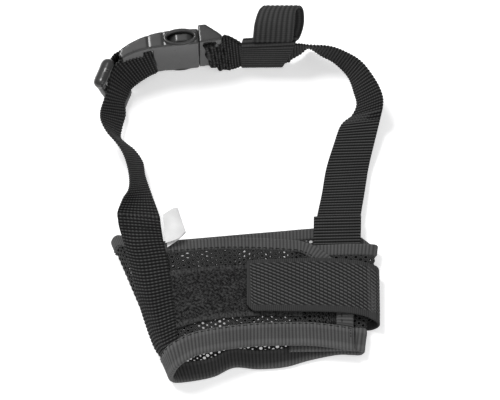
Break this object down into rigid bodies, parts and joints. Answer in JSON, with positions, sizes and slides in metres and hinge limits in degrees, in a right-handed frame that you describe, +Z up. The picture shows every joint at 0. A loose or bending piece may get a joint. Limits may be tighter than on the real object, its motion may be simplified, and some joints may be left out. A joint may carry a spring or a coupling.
{
  "type": "adjustable mesh dog muzzle",
  "caption": "Soft mesh dog muzzle sleeve with bound edges, hook-and-loop closure strap and buckled adjustable neck strap.",
  "frame": {"origin": "middle of the footprint, on the surface that the muzzle lies on", "axes": "+X to the right along the sleeve's width, +Y from the nose end to the neck strap, +Z up from the surface it lies on"},
  "size_m": [0.1351, 0.1839, 0.0351],
  "materials": {
    "mesh": "open knitted nylon netting, semi-matt",
    "binding": "ribbed woven binding tape, matt",
    "loop_pile": "brushed loop pile, matt",
    "closure_webbing": "herringbone woven strap, semi-matt",
    "hook_tape": "moulded hook tape, semi-matt",
    "webbing": "ribbed nylon webbing, semi-matt",
    "buckle_plastic": "moulded acetal, semi-gloss",
    "label": "woven satin label, matt",
    "thread": "polyester thread, matt"
  },
  "bodies": {
    "sleeve": {"mesh_panel_top": "mesh", "mesh_panel_under": "mesh", "rear_binding_top": "binding", "rear_binding_under": "binding", "nose_binding_top": "binding", "nose_binding_under": "binding", "flap_end_binding": "binding", "loop_tape": "loop_pile", "closure_anchor": "closure_webbing", "left_cheek_webbing": "webbing", "right_cheek_webbing": "webbing", "left_box_stitch": "thread", "right_box_stitch": "thread"},
    "closure": {"closure_strap": "closure_webbing", "hook_patch": "hook_tape"},
    "label": {"size_label": "label"},
    "neck_loop": {"neck_strap_left": "webbing", "neck_strap_right": "webbing", "strap_return": "webbing", "buckle_socket": "buckle_plastic"},
    "slider": {"triglide_slider": "buckle_plastic"},
    "plug": {"buckle_plug": "buckle_plastic", "plug_webbing": "webbing"},
    "arm_upper": {"release_arm_upper": "buckle_plastic"},
    "arm_lower": {"release_arm_lower": "buckle_plastic"},
    "collar_loop": {"collar_loop": "webbing"}
  },
  "joints": [
    {"name": "neck_loop_fold", "type": "hinge", "parent": "sleeve", "child": "neck_loop", "pos_m": [-0.0459, -0.0187, 0.0251], "axis": [0.9714, 0.0974, -0.2165], "range_deg": [0, 85], "deforming": ["neck_strap_left", "neck_strap_right"]},
    {"name": "closure_peel", "type": "hinge", "parent": "sleeve", "child": "closure", "pos_m": [0.0571, -0.049, 0.01082], "axis": [0.0074, 0.9988, 0.0479], "range_deg": [0, 150]},
    {"name": "label_flip", "type": "hinge", "parent": "sleeve", "child": "label", "pos_m": [-0.0344, -0.0203, 0.0258], "axis": [0.1678, -0.9839, -0.061], "range_deg": [0, 75]},
    {"name": "slider_adjust", "type": "slide", "parent": "neck_loop", "child": "slider", "axis": [0.3159, 0.9477, 0.045], "range_m": [-0.006, 0.002], "deforming": ["neck_strap_left", "strap_return"]},
    {"name": "buckle_release", "type": "slide", "parent": "neck_loop", "child": "plug", "axis": [0.9945, 0.1045, 0], "range_m": [0, 0.022], "deforming": ["release_arm_upper", "release_arm_lower", "neck_strap_right"]},
    {"name": "arm_press_upper", "type": "hinge", "parent": "plug", "child": "arm_upper", "pos_m": [-0.02002, 0.07824, 0.01994], "axis": [0.1032, -0.9822, -0.1568], "range_deg": [0, 8], "stiffness_Nm_per_rad": 0.05},
    {"name": "arm_press_lower", "type": "hinge", "parent": "plug", "child": "arm_lower", "pos_m": [-0.02018, 0.0798, 0.01006], "axis": [-0.1032, 0.9822, 0.1568], "range_deg": [0, 8], "stiffness_Nm_per_rad": 0.05},
    {"name": "collar_loop_slide", "type": "slide", "parent": "plug", "child": "collar_loop", "axis": [1, 0, 0], "range_m": [0, 0.01], "deforming": ["neck_strap_right"]}
  ]
}
